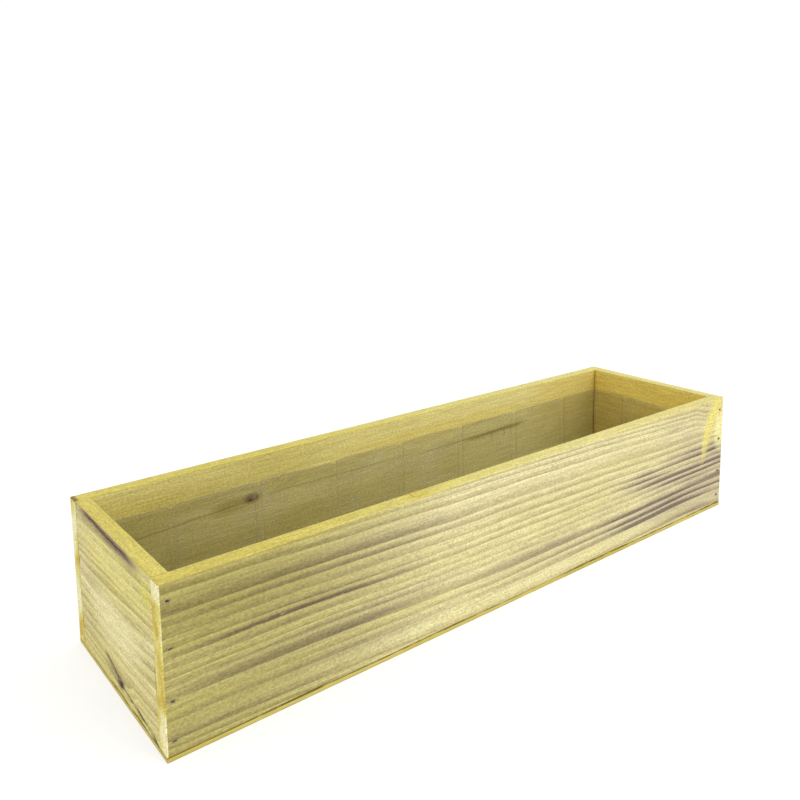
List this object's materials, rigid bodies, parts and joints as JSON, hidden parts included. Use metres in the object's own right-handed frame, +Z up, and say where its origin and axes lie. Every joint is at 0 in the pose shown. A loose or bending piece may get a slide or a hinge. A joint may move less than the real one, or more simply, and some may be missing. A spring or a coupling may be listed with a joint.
{
  "type": "soap loaf mould",
  "caption": "Long open-top wooden box of nailed boards on a thin bottom panel, with a clear ribbed plastic liner that lifts out.",
  "frame": {"origin": "centre of the box's underside", "axes": "+X along the length, +Y from the front long board to the back one, +Z up through the open top"},
  "size_m": [0.528, 0.147, 0.102],
  "materials": {
    "board_wood": "brushed, lightly torched and oiled, with brighter sanded edges",
    "panel_wood": "thin plywood, cut edge showing",
    "brad_steel": "dull wire, darkened heads",
    "liner_film": "clear formed sheet, glossy"
  },
  "bodies": {
    "box": {"front_board": "board_wood", "back_board": "board_wood", "left_end_board": "board_wood", "right_end_board": "board_wood", "bottom_panel": "panel_wood", "corner_brads_front_left": "brad_steel", "corner_brads_front_right": "brad_steel", "corner_brads_back_left": "brad_steel", "corner_brads_back_right": "brad_steel", "panel_brads_front": "brad_steel", "panel_brads_back": "brad_steel", "panel_brads_left": "brad_steel", "panel_brads_right": "brad_steel"},
    "liner": {"liner": "liner_film"}
  },
  "joints": [
    {"name": "liner_lift", "type": "slide", "parent": "box", "child": "liner", "axis": [0, 0, 1], "range_m": [0, 0.17]}
  ]
}
